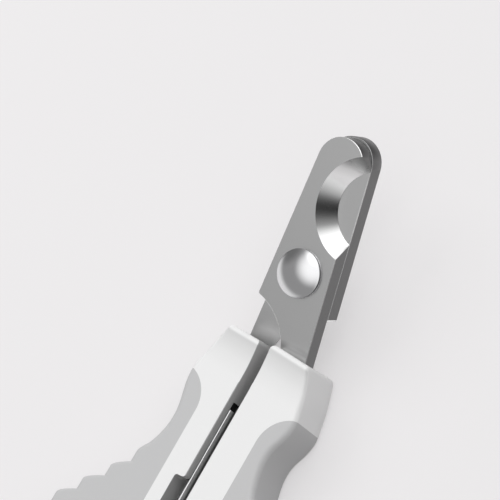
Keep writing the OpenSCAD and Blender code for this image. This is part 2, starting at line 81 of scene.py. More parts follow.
ALONG = Vector((0, math.cos(LEAN), math.sin(LEAN)))
NORMAL = Vector((0, -math.sin(LEAN), math.cos(LEAN)))
RIVET = Vector((0, BEND_AT * MM, PLATE_LEVEL * MM)) + ALONG * BEND_REACH * MM


def head(x, along, up):
    """A place in the leaning head: across, from the rivet to the tips, up from between the plates."""
    return RIVET + Vector((x * MM, 0, 0)) + ALONG * along * MM + NORMAL * up * MM


def flat(x, y, z):
    """A place in the part's own frame."""
    return Vector((x, y, z)) * MM


# ---- materials

def shader_of(finish):
    return finish.node_tree.nodes["Principled BSDF"]


def new_finish(name, colour, metal, rough):
    """A Principled finish with its plain values set on the shader."""
    finish = bpy.data.materials.new(name)
    finish.use_nodes = True
    shader = shader_of(finish)
    shader.inputs["Base Color"].default_value = (*colour, 1)
    shader.inputs["Metallic"].default_value = metal
    shader.inputs["Roughness"].default_value = rough
    return finish


def add_grain(finish, scale, strength, depth=0.01):
    """A fine bump from noise on the piece's own coordinates, in grains per metre."""
    tree = finish.node_tree
    place = tree.nodes.new("ShaderNodeTexCoord")
    noise = tree.nodes.new("ShaderNodeTexNoise")
    noise.inputs["Scale"].default_value = scale
    noise.inputs["Detail"].default_value = 3
    bump = tree.nodes.new("ShaderNodeBump")
    bump.inputs["Distance"].default_value = depth * MM
    bump.inputs["Strength"].default_value = strength
    tree.links.new(place.outputs["Object"], noise.inputs["Vector"])
    tree.links.new(noise.outputs["Fac"], bump.inputs["Height"])
    tree.links.new(bump.outputs["Normal"], shader_of(finish).inputs["Normal"])


def shade_along(finish, way, stops):
    """Lets the colour change along a direction of the piece's own space, from (place, grey) stops."""
    tree = finish.node_tree
    first, last = stops[0][0], stops[-1][0]
    place = tree.nodes.new("ShaderNodeTexCoord")
    along = tree.nodes.new("ShaderNodeVectorMath")
    along.operation = "DOT_PRODUCT"
    along.inputs[1].default_value = way
    span = tree.nodes.new("ShaderNodeMapRange")
    span.inputs["From Min"].default_value = first * MM
    span.inputs["From Max"].default_value = last * MM
    ramp = tree.nodes.new("ShaderNodeValToRGB")
    marks = ramp.color_ramp.elements
    while len(marks) < len(stops):
        marks.new(0.5)
    for mark, (where, grey) in zip(marks, stops):
        mark.position = (where - first) / (last - first)
        mark.color = (grey, grey, grey, 1)
    tree.links.new(place.outputs["Object"], along.inputs[0])
    tree.links.new(along.outputs["Value"], span.inputs["Value"])
    tree.links.new(span.outputs["Result"], ramp.inputs[0])
    tree.links.new(ramp.outputs[0], shader_of(finish).inputs["Base Color"])


def shade_head(finish, *stops):
    """Lets the colour change along the head, with the places measured from the rivet."""
    shade_along(finish, ALONG, [(RIVET.dot(ALONG) / MM + where, grey) for where, grey in stops])


WHITE = (0.83, 0.83, 0.83)
WHITE_ROUGH = 0.36

# The front and rear satin steels are one steel, kept apart only for their own painted shade and painted
# reflections, set by the ramps below
front_steel = new_finish("satin_front_blade_steel", (0.87, 0.87, 0.88), 1, 0.32)
rear_steel = new_finish("satin_rear_blade_steel", (0.87, 0.87, 0.88), 1, 0.32)
# The throat takes a brighter copy of the steel: a painted highlight on top of its real reflection
throat_steel = new_finish("painted_highlight_throat_steel", (0.98, 0.98, 0.98), 1, 0.3)
bevel_steel = new_finish("polished_bevel_steel", (0.82, 0.82, 0.83), 1, 0.12)
# The plate sides take a dark copy of the steel: a painted dark reflection on top of their real reflection
side_steel = new_finish("painted_dark_reflection_side_steel", (0.175, 0.175, 0.18), 1, 0.32)
# The front blade's edge roundings take a copy of the steel whose colour is a painted highlight, set by a ramp below
front_edge = new_finish("painted_highlight_front_edge_steel", (0.85, 0.85, 0.86), 1, 0.25)
# The throat's edge roundings take a brighter copy of the steel too: a painted highlight on top of their real
# reflection
throat_edge = new_finish("painted_highlight_throat_edge_steel", (0.95, 0.95, 0.95), 1, 0.25)
# The rear blade's edge roundings likewise take a copy of the steel whose colour is a painted highlight, set by a
# ramp below
rear_edge = new_finish("painted_highlight_rear_edge_steel", (0.70, 0.70, 0.71), 1, 0.25)
rivet_steel = new_finish("polished_rivet_steel", (0.80, 0.80, 0.81), 1, 0.14)
# The rivet's rim takes a dark copy of the steel: a painted dark reflection on top of its real reflection
rim_steel = new_finish("painted_dark_reflection_rivet_rim_steel", (0.16, 0.16, 0.165), 1, 0.3)
spring_steel = new_finish("rolled_spring_steel", (0.55, 0.56, 0.58), 1, 0.28)
screw_steel = new_finish("zinc_screw_steel", (0.50, 0.50, 0.51), 1, 0.32)
# The file's colour is painted shade, set by a ramp below: dark towards the bottom of its slot and on its top face
file_steel = new_finish("painted_shade_file_steel", (0.60, 0.60, 0.61), 0.2, 0.5)
file_edge = new_finish("polished_file_edge", (0.86, 0.86, 0.87), 1, 0.2)
white_plastic = new_finish("white_handle_plastic", WHITE, 0, WHITE_ROUGH)
cover_plastic = new_finish("white_cover_plastic", (0.80, 0.80, 0.80), 0, 0.45)
soft_grip = new_finish("grey_soft_grip", (0.533, 0.533, 0.537), 0, 0.55)
latch_plastic = new_finish("grey_latch_plastic", (0.40, 0.40, 0.41), 0, 0.42)
# The inner walls and the finger notch take a grey copy of the white plastic: painted shade of the narrow gap
painted_wall_shade = new_finish("painted_shade_inner_wall", (0.48, 0.48, 0.48), 0, 0.5)
# The file slot takes black: a painted shadow of the deep slot
painted_slot_shadow = new_finish("painted_shadow_file_slot", (0.015, 0.015, 0.015), 0, 0.6)

add_grain(front_steel, 1800, 0.15)
add_grain(rear_steel, 1800, 0.15)
add_grain(white_plastic, 3500, 0.12)
add_grain(cover_plastic, 3000, 0.3)
add_grain(soft_grip, 2600, 0.3, 0.02)

# Painted shade and painted reflections: colour ramps that stand in for what the handles, the tips and the open sky
# throw on the steel, and for the shade in the file's slot
shade_head(front_steel, (-15.2, 0.32), (-14.2, 0.56), (-13.8, 0.46), (-12.6, 0.74), (-9, 0.75), (24, 0.80))
shade_head(rear_steel, (-15.6, 0.34), (-13.2, 0.62), (-11.8, 0.67), (-9, 0.75), (18, 0.775))
# Painted reflection on the polished bevel, darker towards the tip
shade_head(bevel_steel, (19.5, 0.82), (21.2, 0.66), (22.3, 0.42), (23.2, 0.31), (25, 0.25))
# Painted dark reflection on the sides, darkest near the tips
shade_head(
    side_steel,
    (20, 0.17), (24.2, 0.15), (25.0, 0.10), (25.6, 0.065), (26.1, 0.06), (26.4, 0.07), (26.8, 0.09))
# Painted highlight on the edge roundings: dim near the handles, bright towards the tips, and on the rear blade dim
# again at its tip
shade_head(front_edge, (-16, 0.42), (2, 0.48), (12, 0.70), (22, 0.95))
shade_head(rear_edge, (-16, 0.48), (5, 0.54), (12, 0.78), (20, 0.70), (23, 0.45), (26, 0.30))
# Painted shade on the file: near black at the bottom of its slot, light below its top, dark again on its top face
shade_along(file_steel, (0, 0, 1), [(7.2, 0.02), (7.8, 0.17), (8.3, 0.68), (9.25, 0.82), (9.29, 0.15)])


# ---- ways of working

def pick(piece):
    bpy.ops.object.select_all(action="DESELECT")
    piece.select_set(True)
    bpy.context.view_layer.objects.active = piece


def placed(name, data):
    """Puts a new object with the given data into the scene."""
    thing = bpy.data.objects.new(name, data)
    bpy.context.scene.collection.objects.link(thing)
    return thing


def started(name):
    """Names the primitive just added and lays its place and size into its mesh."""
    piece = bpy.context.object
    piece.name = piece.data.name = name
    bpy.ops.object.transform_apply(location=True, rotation=True, scale=True)
    return piece


def choose(piece, kind, test):
    """In edit mode, selects the vertices, edges or faces that pass the test."""
    bpy.ops.mesh.select_mode(type=kind)
    bpy.ops.mesh.select_all(action="DESELECT")
    form = bmesh.from_edit_mesh(piece.data)
    form.normal_update()
    for part in {"VERT": form.verts, "EDGE": form.edges, "FACE": form.faces}[kind]:
        if test(part):
            part.select_set(True)
    form.select_flush_mode()
    bmesh.update_edit_mesh(piece.data)


def draw_out(way):
    bpy.ops.mesh.extrude_region_move(TRANSFORM_OT_translate={"value": way})


def close_up():
    """Turns all faces outward and leaves edit mode."""
    bpy.ops.mesh.select_all(action="SELECT")
    bpy.ops.mesh.normals_make_consistent(inside=False)
    bpy.ops.object.mode_set(mode="OBJECT")


def cut(piece, tool, how="DIFFERENCE"):
    """Cuts the piece with a tool body, which is then thrown away."""
    pick(piece)
    work = piece.modifiers.new("cut", "BOOLEAN")
    work.operation = how
    work.solver = "EXACT"
    work.object = tool
    bpy.ops.object.modifier_apply(modifier=work.name)
    bpy.data.objects.remove(tool, do_unlink=True)


def smooth(piece, angle=32):
    pick(piece)
    bpy.ops.object.shade_smooth_by_angle(angle=math.radians(angle))


def soften(piece, width, sharp=40, finish=-1, marked=False):
    """Rounds the sharp or marked edges a little, and keeps the flats beside them flat to the eye."""
    pick(piece)
    edges = piece.modifiers.new("edge_rounding", "BEVEL")
    edges.width = width * MM
    edges.segments = 2
    edges.limit_method = "WEIGHT" if marked else "ANGLE"
    edges.angle_limit = math.radians(sharp)
    edges.use_clamp_overlap = False
    edges.material = finish
    bpy.ops.object.modifier_apply(modifier=edges.name)
    smooth(piece, 46)
    weigh = piece.modifiers.new("even_normals", "WEIGHTED_NORMAL")
    weigh.keep_sharp = True
    weigh.weight = 100
    bpy.ops.object.modifier_apply(modifier=weigh.name)


def clean(piece, reach):
    """Merges what lies together, joins flat triangles and turns all faces outward."""
    pick(piece)
    bpy.ops.object.mode_set(mode="EDIT")
    bpy.ops.mesh.select_all(action="SELECT")
    bpy.ops.mesh.remove_doubles(threshold=reach * MM)
    bpy.ops.mesh.dissolve_limited(angle_limit=math.radians(0.3))
    close_up()


def round_bar(name, r, foot, length, sides=96, r_top=None):
    """A bar or cone that stands square on the head, its foot in the middle of its lower end."""
    bpy.ops.object.select_all(action="DESELECT")
    bpy.ops.mesh.primitive_cone_add(
        vertices=sides, radius1=r * MM, radius2=(r if r_top is None else r_top) * MM, depth=length * MM,
        location=foot + NORMAL * length * MM / 2, rotation=(LEAN, 0, 0))
    return started(name)


def block(name, low, high):
    """A plain block between two corners."""
    low, high = flat(*low), flat(*high)
    bpy.ops.object.select_all(action="DESELECT")
    bpy.ops.mesh.primitive_cube_add(size=1, location=(low + high) / 2, scale=high - low)
    return started(name)


def slab(name, outline, low, high, lay=flat):
    """An outline of places across and along, drawn up between two levels."""
    mesh = bpy.data.meshes.new(name)
    mesh.from_pydata([lay(x, y, low) for x, y in outline], [], [tuple(range(len(outline)))])
    tool = placed(name, mesh)
    pick(tool)
    bpy.ops.object.mode_set(mode="EDIT")
    bpy.ops.mesh.select_all(action="SELECT")
    draw_out(lay(0, 0, high) - lay(0, 0, low))
    close_up()
    return tool


def take_place(piece, node, body, slot, *finishes):
    """Gives a finished piece its finishes and its body, and hides the CAD node that it stands for."""
    for finish in finishes:
        piece.data.materials.append(finish)
    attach(piece, body)
    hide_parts(node)


# ---- blades

# The raw strip, and tools that reach well past it
STRIP_HALF_W, STRIP_REACH = 10, 45
TOOL_DEPTH, TOOL_REACH, BORE_DEPTH = 40, 60, 24
RELIEF_OUT, RELIEF_LEN, RELIEF_LOW, RELIEF_HIGH = 12, 50, -5, 20
# In the part's frame, a blade's throat lies below and inside these
THROAT_TOP, THROAT_OUT = 37, 6

# Finishes of a blade, in the order of its material slots
FACE, BEVEL, SIDE, EDGE, THROAT, THROAT_EDGE = range(6)


def bent_strip(name, low):
    """A flat bar as thick as the plate, turned up round the bend and drawn out past the tip."""
    strip = block(
        name, (-STRIP_HALF_W, HANDLE_TOP - TANG_LEN, PLATE_LEVEL + low),
        (STRIP_HALF_W, BEND_START, PLATE_LEVEL + low + PLATE))
    bpy.ops.object.mode_set(mode="EDIT")
    choose(strip, "FACE", lambda face: face.normal.y > 0.9)
    bend_centre = (0, BEND_START * MM, (PLATE_LEVEL + BEND_R) * MM)
    bpy.ops.mesh.spin(steps=16, angle=-LEAN, center=bend_centre, axis=(1, 0, 0))
    draw_out(ALONG * STRIP_REACH * MM)
    close_up()
    return strip


def outline_tool(tip_reach):
    """The blade seen square on: round tip, sides that widen to the bend, then straight down."""
    tip_r = (BLADE_HALF_W - tip_reach * math.tan(TAPER)) * math.cos(TAPER)
    base_half_w = BLADE_HALF_W - BEND_END * math.tan(TAPER)
    bpy.ops.object.select_all(action="DESELECT")
    bpy.ops.mesh.primitive_circle_add(
        vertices=256, radius=tip_r * MM, location=head(0, tip_reach, -TOOL_DEPTH), rotation=(LEAN, 0, 0))
    tool = started("blade_outline")
    tip_line = (head(0, tip_reach, 0) + ALONG * tip_r * math.sin(TAPER) * MM).dot(ALONG)
    bpy.ops.object.mode_set(mode="EDIT")
    choose(tool, "VERT", lambda corner: corner.co.dot(ALONG) < tip_line)
    bpy.ops.mesh.delete(type="VERT")
    choose(tool, "VERT", lambda corner: len(corner.link_edges) == 1)
    end = next(corner.co.copy() for corner in bmesh.from_edit_mesh(tool.data).verts if corner.select)
    draw_out(ALONG * (head(0, BEND_END, 0).dot(ALONG) - end.dot(ALONG)))
    bpy.ops.transform.resize(value=(base_half_w * MM / abs(end.x), 1, 1), center_override=(0, 0, 0))
    draw_out(ALONG * -TOOL_REACH * MM)
    bpy.ops.mesh.select_all(action="SELECT")
    bpy.ops.mesh.edge_face_add()
    draw_out(NORMAL * 2 * TOOL_DEPTH * MM)
    close_up()
    return tool


def shoulder_tool(side):
    """What is filed off the corner between a blade's side and its throat to round it."""
    steps, past_corner = 10, 2
    along = Vector((math.sin(TAPER), math.cos(TAPER)))
    inward = Vector((math.cos(TAPER), -math.sin(TAPER)))
    throat = Vector((THROAT_X, THROAT_Y))
    start = Vector((-BLADE_HALF_W, 0)) + inward * SHOULDER_R
    reach = (start - throat).dot(along)
    off_line = (start - throat).length_squared
    centre = start + along * (math.sqrt(reach ** 2 - off_line + (THROAT_R + SHOULDER_R) ** 2) - reach)
    first, last = math.pi - TAPER, math.atan2(*(throat - centre).yx) + 2 * math.pi
    line = [(first + (last - first) * i / steps, SHOULDER_R) for i in range(steps + 1)]
    line = [(first, past_corner)] + line + [(last, past_corner)]
    outline = [centre + Vector((math.cos(turn), math.sin(turn))) * far for turn, far in line]
    return slab("shoulder_tool", [(side * x, y) for x, y in outline], -TOOL_REACH / 2, TOOL_REACH / 2, head)


def in_throat(face, side):
    return face.center.y < THROAT_TOP * MM and side * face.center.x < THROAT_OUT * MM


def mark_face_edges(piece):
    """Marks the edges between the flat faces and the sides of a plate, which get a fine rounding."""
    form = bmesh.new()
    form.from_mesh(piece.data)
    form.normal_update()
    mark = form.edges.layers.float.new("bevel_weight_edge")
    for edge in form.edges:
        if len(edge.link_faces) == 2 and edge.calc_face_angle() > math.radians(25):
            kinds = {face.material_index for face in edge.link_faces}
            edge[mark] = 1 if kinds in ({FACE, SIDE}, {FACE, THROAT}) else 0
    form.to_mesh(piece.data)
    form.free()


def notch_tool(side, low):
    """The cone that grinds a blade's notch, wide on the side that is seen."""
    past = 1
    slope = BEVEL_W / PLATE
    near, far = NOTCH_R - past * slope, NOTCH_R + (PLATE + past) * slope
    foot_r, top_r = (near, far) if side > 0 else (far, near)
    place = head(side * NOTCH_X, NOTCH_Y, low - past)
    return round_bar("notch", foot_r, place, PLATE + 2 * past, 320, top_r)


def blade(name, side, low, tip_reach, satin, edge):
    """One bent plate with its round tip, conical ground notch, throat, bore and tang."""
    piece = bent_strip(name, low)
    cut(piece, outline_tool(tip_reach), "INTERSECT")
    for inner, top in ((NECK_IN, BEND_START), (TANG_IN, HANDLE_TOP - NECK_LEN)):
        left, right = sorted((-RELIEF_OUT * side, inner * side))
        cut(piece, block("relief", (left, HANDLE_TOP - RELIEF_LEN, RELIEF_LOW), (right, top, RELIEF_HIGH)))
    cut(piece, round_bar("bore", SHANK_R + BORE_GAP, head(0, 0, -BORE_DEPTH / 2), BORE_DEPTH))
    throat = head(side * THROAT_X, THROAT_Y, -TOOL_REACH / 2)
    cut(piece, round_bar("throat", THROAT_R, throat, TOOL_REACH, 256))
    cut(piece, shoulder_tool(side))
    cut(piece, notch_tool(side, low))
    clean(piece, 0.004)
    for finish in (satin, bevel_steel, side_steel, edge, throat_steel, throat_edge):
        piece.data.materials.append(finish)
    for face in piece.data.polygons:
        tilt = abs(face.normal.dot(NORMAL))
        wall = THROAT if in_throat(face, side) else SIDE
        face.material_index = FACE if tilt > 0.9 else BEVEL if tilt > 0.3 else wall
    mark_face_edges(piece)
    soften(piece, EDGE_ROUNDING, finish=EDGE, marked=True)
    for face in piece.data.polygons:
        if face.material_index == EDGE and face.normal.dot(NORMAL) < 0:
            face.material_index = SIDE
        elif face.material_index == EDGE and in_throat(face, side):
            face.material_index = THROAT_EDGE
    return piece


front_blade = blade("front_blade_shown", 1, SLIDE_GAP, FRONT_TIP, front_steel, front_edge)
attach(front_blade, "right_arm")
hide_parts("front_blade")
rear_blade = blade("rear_blade_shown", -1, -PLATE, REAR_TIP, rear_steel, rear_edge)
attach(rear_blade, "left_arm")
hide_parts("rear_blade")


# ---- rivet

def turned(name, rings):
    """A piece turned about the rivet's axis from rings of radius and height."""
    bpy.ops.object.select_all(action="DESELECT")
    bpy.ops.mesh.primitive_circle_add(
        vertices=128, radius=rings[0][0] * MM, location=head(0, 0, rings[0][1]), rotation=(LEAN, 0, 0))
    piece = started(name)
    bpy.ops.object.mode_set(mode="EDIT")
    bpy.ops.mesh.select_all(action="SELECT")
    bpy.ops.mesh.edge_face_add()
    for (r, z), (r_new, z_new) in zip(rings, rings[1:]):
        draw_out(NORMAL * (z_new - z) * MM)
        bpy.ops.transform.resize(value=(r_new / r,) * 3, center_override=head(0, 0, z_new))
    close_up()
    smooth(piece, 40)
    return piece


def dome_rings(r, h, base, way):
    """Rings of a low dome from its rim to near its middle."""
    count, middle = 14, 0.05
    ball = (r * r + h * h) / (2 * h)
    edge = math.asin(r / ball)
    angles = [edge * (1 - i / count) for i in range(count)]
    rings = [(ball * math.sin(a), base + way * (h - ball + ball * math.cos(a))) for a in angles]
    return rings + [(middle, base + way * h)]


seat = PLATE + SLIDE_GAP + SEAT_GAP
rim_top = seat + DOME_RIM
foot = -PLATE - WASHER
rivet = turned(
    "pivot_rivet_shown",
    dome_rings(TAIL_R, TAIL_H, foot - TAIL_RIM, -1)[::-1]
    + [(TAIL_R, foot), (SHANK_R, foot), (SHANK_R, seat), (DOME_R - RIM_UNDER, seat), (DOME_R, seat + RIM_UNDER)]
    + [(DOME_R, rim_top - RIM_BREAK), (DOME_R - 0.3 * RIM_BREAK, rim_top - 0.3 * RIM_BREAK)]
    + dome_rings(DOME_R - RIM_BREAK, DOME_H, rim_top, 1))
rivet.data.materials.append(rivet_steel)
rivet.data.materials.append(rim_steel)
# The rim's upright faces take the painted dark reflection
for face in rivet.data.polygons:
    face.material_index = 1 if abs(face.normal.dot(NORMAL)) < 0.3 else 0
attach(rivet, "left_arm")
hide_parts("pivot_rivet")


# ---- handles and grips

# The plain outline: widths from the inner wall, at distances below the handles' top
LENGTH, THICK, WALL = 95.4, 12, 1.42
TOP_W, SHOULDER_W, SHOULDER_AT = 8.7, 11.6, 10.4
WAIST_W, WAIST_AT, WIDEST_W, WIDEST_AT, END_W = 10.05, 19.4, 28, 53.4, 18
END_ROUND, END_FULL, END_POWER = 13, 0.97, 2.5
# How much narrower than the plain outline each handle is, by distance below its top
SLIMMER = {
    "left": [(0, 1.3), (4, 1.3), (10, 0.8), (100, 0.8)],
    "right": [
        (0, 0.28), (4, 0.38), (7.5, 0.45), (11.5, 0.02), (13.5, 0.05), (17, 0.38), (24, 0.15), (100, 0.13)],
}

# Ribs: steps that rise over the first part of each pitch and run on to a lead
RIB_FROM, RIB_PITCH, RIB_COUNT, RISER, RIB_LEAD, RISER_POWER = 26.1, 4.67, 5, 0.5, 0.55, 1.5

# The front face: how far it curves up to the top, over which length, and its crown across
LIFT, LIFT_LEN, CROWN = 1.2, 7.5, 0.25
# Radii of the long edges, which are a little sharper at the top, and of the edges of both ends
TOP_EDGE_R, FRONT_EDGE_R, BACK_EDGE_R = 1, 1.3, 1
TOP_FACE_R, TOP_OUTER_R, TOP_INNER_R, TOP_BACK_R, END_R = 1.2, 0.5, 0.8, 0.6, 2.5
# How far each top end runs askew: at the inner wall, per millimetre outwards, and how far the inner wall stands in
ASKEW = {"left": (0.25, 0.06, 0), "right": (0.8, -0.085, 0.3)}
ASKEW_LEN, TOP_LEAN = 10, 0.069
# The white top ends with a painted shade, darker just below the top, which changes by distance past the top
TOP_END_LEN, TOP_END_LEVEL = 8.5, 10.5
TOP_PAINTED_SHADE = ((-8.3, 0.83), (-5, 0.805), (-2.2, 0.73), (-1.15, 0.665), (-0.75, 0.81), (0.9, 0.83))

# The grips begin at a line on the front face, this far from the inner wall
GRIP_LINE = {"left": 5.15, "right": 6.35}
GRIP_FROM, GRIP_TO, GRIP_EDGE_R, GRIP_FOOT = 16.65, 75.4, 7, 0.9

# What is cut into the handles
COVER_FROM, COVER_TO, COVER_IN, COVER_LEVEL = 2.9, 81.5, 1.3, 1.72
SLOT_FROM, SLOT_DEEP, SLOT_FLOOR, SLOT_ROOF = 12, 2.54, 4.4, 9.9
FINGER_FROM, FINGER_TO, FINGER_DEEP, FINGER_FLOOR = 28.7, 46.7, 2.1, 6.0
LATCH_FROM, LATCH_FLOOR, LATCH_ROOF = 86.2, 2.0, 4.4
PIN_X, PIN_AT, PIN_R, PIN_TOP = 5.6, 89.4, 1.26, {"left": 4.82, "right": 8.02}
LEAF_FROM, LEAF_TO, LEAF_DEEP, LEAF_FLOOR, LEAF_ROOF = 30, 58, 0.95, 2.2, 6.0
PAD_FROM, PAD_TO, PAD_REACH, PAD_ROOT, PAD_FLOOR, PAD_ROOF = 63, 69, 1.27, 1, 1.7, 4.1
# How far the cutting tools reach past the handles
PAST_SIDES, PAST_END, PAST_LATCH = 40, -80, 99
ABOVE_GRIP, ABOVE_FINGER, BELOW_BACK = 30, 20, -2

# The nail file and its tab, which slide in the left handle
FILE_BACK, FILE_FRONT, FILE_LOW, FILE_TOP = -1.94, -1.50, 4.6, 9.3
FILE_FROM, FILE_TO = 13.5, 90.8
FILE_SLANT, FILE_SLANT_RISE = 0.16, 0.07
TAB_BACK, TAB_LOW, TAB_HIGH, TAB_TO, TAB_GAP = -3.32, 5, 10, 95.28, 0.12

# Finishes of a housing, in the order of its material slots
PLAIN, INNER_WALL, FILE_SLOT, TOP_END = range(4)


def wave(a, b, t):
    """A smooth change from a to b while t runs from 0 to 1."""
    return a + (b - a) * (1 - math.cos(math.pi * t)) / 2


def flank(d):
    """Width of the plain outline at a distance below the handle's top."""
    if d < SHOULDER_AT:
        return TOP_W + (SHOULDER_W - TOP_W) * math.sin(math.pi / 2 * d / SHOULDER_AT)
    if d < WAIST_AT:
        return wave(SHOULDER_W, WAIST_W, (d - SHOULDER_AT) / (WAIST_AT - SHOULDER_AT))
    if d < WIDEST_AT:
        return wave(WAIST_W, WIDEST_W, (d - WAIST_AT) / (WIDEST_AT - WAIST_AT))
    return wave(WIDEST_W, END_W, (d - WIDEST_AT) / (LENGTH - WIDEST_AT))


def tread_d(i):
    """The place on the plain outline whose width a rib's tread takes."""
    if i < 0:
        return RIB_FROM
    return RIB_FROM + RIB_PITCH * (i + (RISER if i == RIB_COUNT else RIB_LEAD))


def rib_d(d):
    """The place on the plain outline whose width the ribbed outline takes."""
    steps = (d - RIB_FROM) / RIB_PITCH
    if steps < 0 or steps > RIB_COUNT + RISER:
        return d
    i = int(steps)
    climb = 1 - max(0, 1 - (steps - i) / RISER) ** RISER_POWER
    return tread_d(i - 1) + (tread_d(i) - tread_d(i - 1)) * climb


def end_share(d):
    """How much of the width is left on the rounded end."""
    past = END_FULL * max(0, d - LENGTH + END_ROUND) / END_ROUND
    return (1 - past ** END_POWER) ** (1 / END_POWER)


def rounding(e, r):
    """Depth of a rounded edge of radius r at a distance e from the edge."""
    return r - math.sqrt(max(0, r * r - (r - e) ** 2)) if e < r else 0


def face_level(x, d):
    """Height of the front face, which curves up to the handle's top and is crowned across."""
    lift = LIFT * (1 - d / LIFT_LEN) ** 2 if d < LIFT_LEN else 0
    return THICK + lift - CROWN * (x / flank(d)) ** 2


def slimmer(hand, d):
    for (start, here), (end, there) in zip(SLIMMER[hand], SLIMMER[hand][1:]):
        if d <= end:
            return wave(here, there, (d - start) / (end - start))


def ring(hand, d):
    """One cross section of a handle as places across and up, round from the inner front edge."""
    w = flank(rib_d(d)) * end_share(d) - slimmer(hand, d) - rounding(d, TOP_OUTER_R)
    start = rounding(d, TOP_INNER_R) - ASKEW[hand][2]
    r = wave(TOP_EDGE_R, FRONT_EDGE_R, d / SHOULDER_AT) if d < SHOULDER_AT else FRONT_EDGE_R
    drop = max(rounding(d, TOP_FACE_R), rounding(LENGTH - d, END_R))
    xs = [start + (w - r - start) * i / 16 for i in range(17)]
    xs += [w - r + r * math.sin(math.pi / 2 * i / 10) for i in range(1, 11)]
    front = [(x, face_level(x, d) - math.hypot(rounding(w - x, r), drop)) for x in xs]
    # A small rounding of the inner front edge
    front[0] = (start, front[0][1] - 0.15)
    front.insert(1, (start + 0.05, front[1][1] - 0.04))
    front.insert(2, (start + 0.16, front[2][1]))
    foot = max(rounding(d, TOP_BACK_R), rounding(LENGTH - d, END_R))
    back_r = BACK_EDGE_R
    sides = [(w, front[-1][1] + (back_r + foot - front[-1][1]) * i / 5) for i in range(1, 5)]
    turns = [math.pi / 2 * i / 6 for i in range(7)]
    back = [(w - back_r + back_r * math.cos(a), foot + back_r - back_r * math.sin(a)) for a in turns]
    back += [(start + (w - back_r - start) * i / 6, foot) for i in range(5, -1, -1)]
    inner = [(start, foot + (front[0][1] - foot) * i / 6) for i in range(1, 6)]
    return front + sides + back + inner


def row_places():
    """Distances of the cross sections, close together at the ends and on the ribs."""
    riser, tread = (0.06, 0.14, 0.24, 0.34, 0.43, 0.5), (0.75, 0.97, 1.0)
    ds = [0, 0.03, 0.12, 0.28, 0.5, 0.75, 1.0, 1.2]
    first, last, end = ds[-1], RIB_FROM + RIB_PITCH * (RIB_COUNT + RISER), LENGTH - END_ROUND
    ds += [first + (RIB_FROM - first) * i / 45 for i in range(1, 46)]
    ds += [RIB_FROM + RIB_PITCH * (i + f) for i in range(RIB_COUNT + 1) for f in riser]
    ds += [RIB_FROM + RIB_PITCH * (i + f) for i in range(RIB_COUNT) for f in tread]
    ds += [last + (end - last) * i / 24 for i in range(1, 25)]
    ds += [end + END_ROUND * math.sin(math.pi / 2 * i / 24) for i in range(1, 25)]
    return sorted(ds)


def top_slant(hand, side, x, d, z):
    """A place on a handle, whose top end runs a little askew and leans back."""
    askew = ASKEW[hand][0] + ASKEW[hand][1] * x + TOP_LEAN * (THICK - z)
    return flat(side * (WALL + x), HANDLE_TOP - d + askew * max(0, 1 - d / ASKEW_LEN) ** 2, z)


def handle_form(name, hand, side):
    """The whole outside of a handle as one skin through its cross sections."""
    rings = [[top_slant(hand, side, x, d, z) for x, z in ring(hand, d)] for d in row_places()]
    count = len(rings[0])
    corners = [corner for row in rings for corner in row]
    faces = []
    for row in range(0, len(corners) - count, count):
        for i in range(count):
            j = (i + 1) % count
            faces.append((row + i, row + j, row + count + j, row + count + i))
    faces += [tuple(range(count)), tuple(range(len(corners) - count, len(corners)))]
    mesh = bpy.data.meshes.new(name)
    mesh.from_pydata(corners, [], faces)
    form = placed(name, mesh)
    pick(form)
    bpy.ops.object.mode_set(mode="EDIT")
    close_up()
    return form


def grip_zone(hand, side):
    """Everything outside the curved line between plain face and grip."""
    r, steps, outside = GRIP_EDGE_R, 48, 60
    turns = [math.pi / 2 * i / steps for i in range(steps + 1)]
    line = [(r - r * math.sin(a), GRIP_FROM - r * math.cos(a)) for a in turns]
    line += [(r - r * math.cos(a), GRIP_TO + r * math.sin(a)) for a in turns]
    line = [(outside, line[0][1])] + line + [(outside, line[-1][1])]
    outline = [(side * (WALL + GRIP_LINE[hand] + x), HANDLE_TOP - d) for x, d in line]
    return slab("grip_zone", outline, GRIP_FOOT, ABOVE_GRIP)


def corner_arc(x, y, r, start, turn):
    steps = 10
    angles = [math.radians(start + turn * i / steps) for i in range(steps + 1)]
    return [(x + r * math.cos(a), y + r * math.sin(a)) for a in angles]


def finger_notch():
    """The hollow that bares the file's edge, with rounded corners and a rounded mouth."""
    r, mouth, open_side = 0.6, 0.8, 2
    deep, top, foot = -WALL - FINGER_DEEP, HANDLE_TOP - FINGER_FROM, HANDLE_TOP - FINGER_TO
    outline = corner_arc(-WALL - mouth, top + mouth, mouth, 0, -90)
    outline += corner_arc(deep + r, top - r, r, 90, 90)
    outline += corner_arc(deep + r, foot + r, r, 180, 90)
    outline += corner_arc(-WALL - mouth, foot - mouth, mouth, 90, -90)
    outline += [(open_side, foot - mouth), (open_side, top + mouth)]
    return slab("finger_notch", outline, FINGER_FLOOR, ABOVE_FINGER)


def cover_width(d):
    """Width of a cover's seat, which keeps clear of the outline and of the rib before."""
    side_wall, rib_wall, fit_gap = 2.4, 2.5, 0.1
    before = flank(max(0, d - RIB_PITCH * (1 - RIB_LEAD)))
    return min(flank(d) - side_wall, min(flank(d), before) - rib_wall) + fit_gap


def cover_seat(side):
    """The shallow recess in a handle's back that takes its cover."""
    inner, steps = side * (WALL + COVER_IN), 90
    ds = [COVER_FROM + (COVER_TO - COVER_FROM) * i / steps for i in range(steps + 1)]
    outline = [(inner, HANDLE_TOP - COVER_FROM)]
    outline += [(side * (WALL + cover_width(d)), HANDLE_TOP - d) for d in ds]
    return slab("cover_seat", outline + [(inner, HANDLE_TOP - COVER_TO)], BELOW_BACK, COVER_LEVEL)


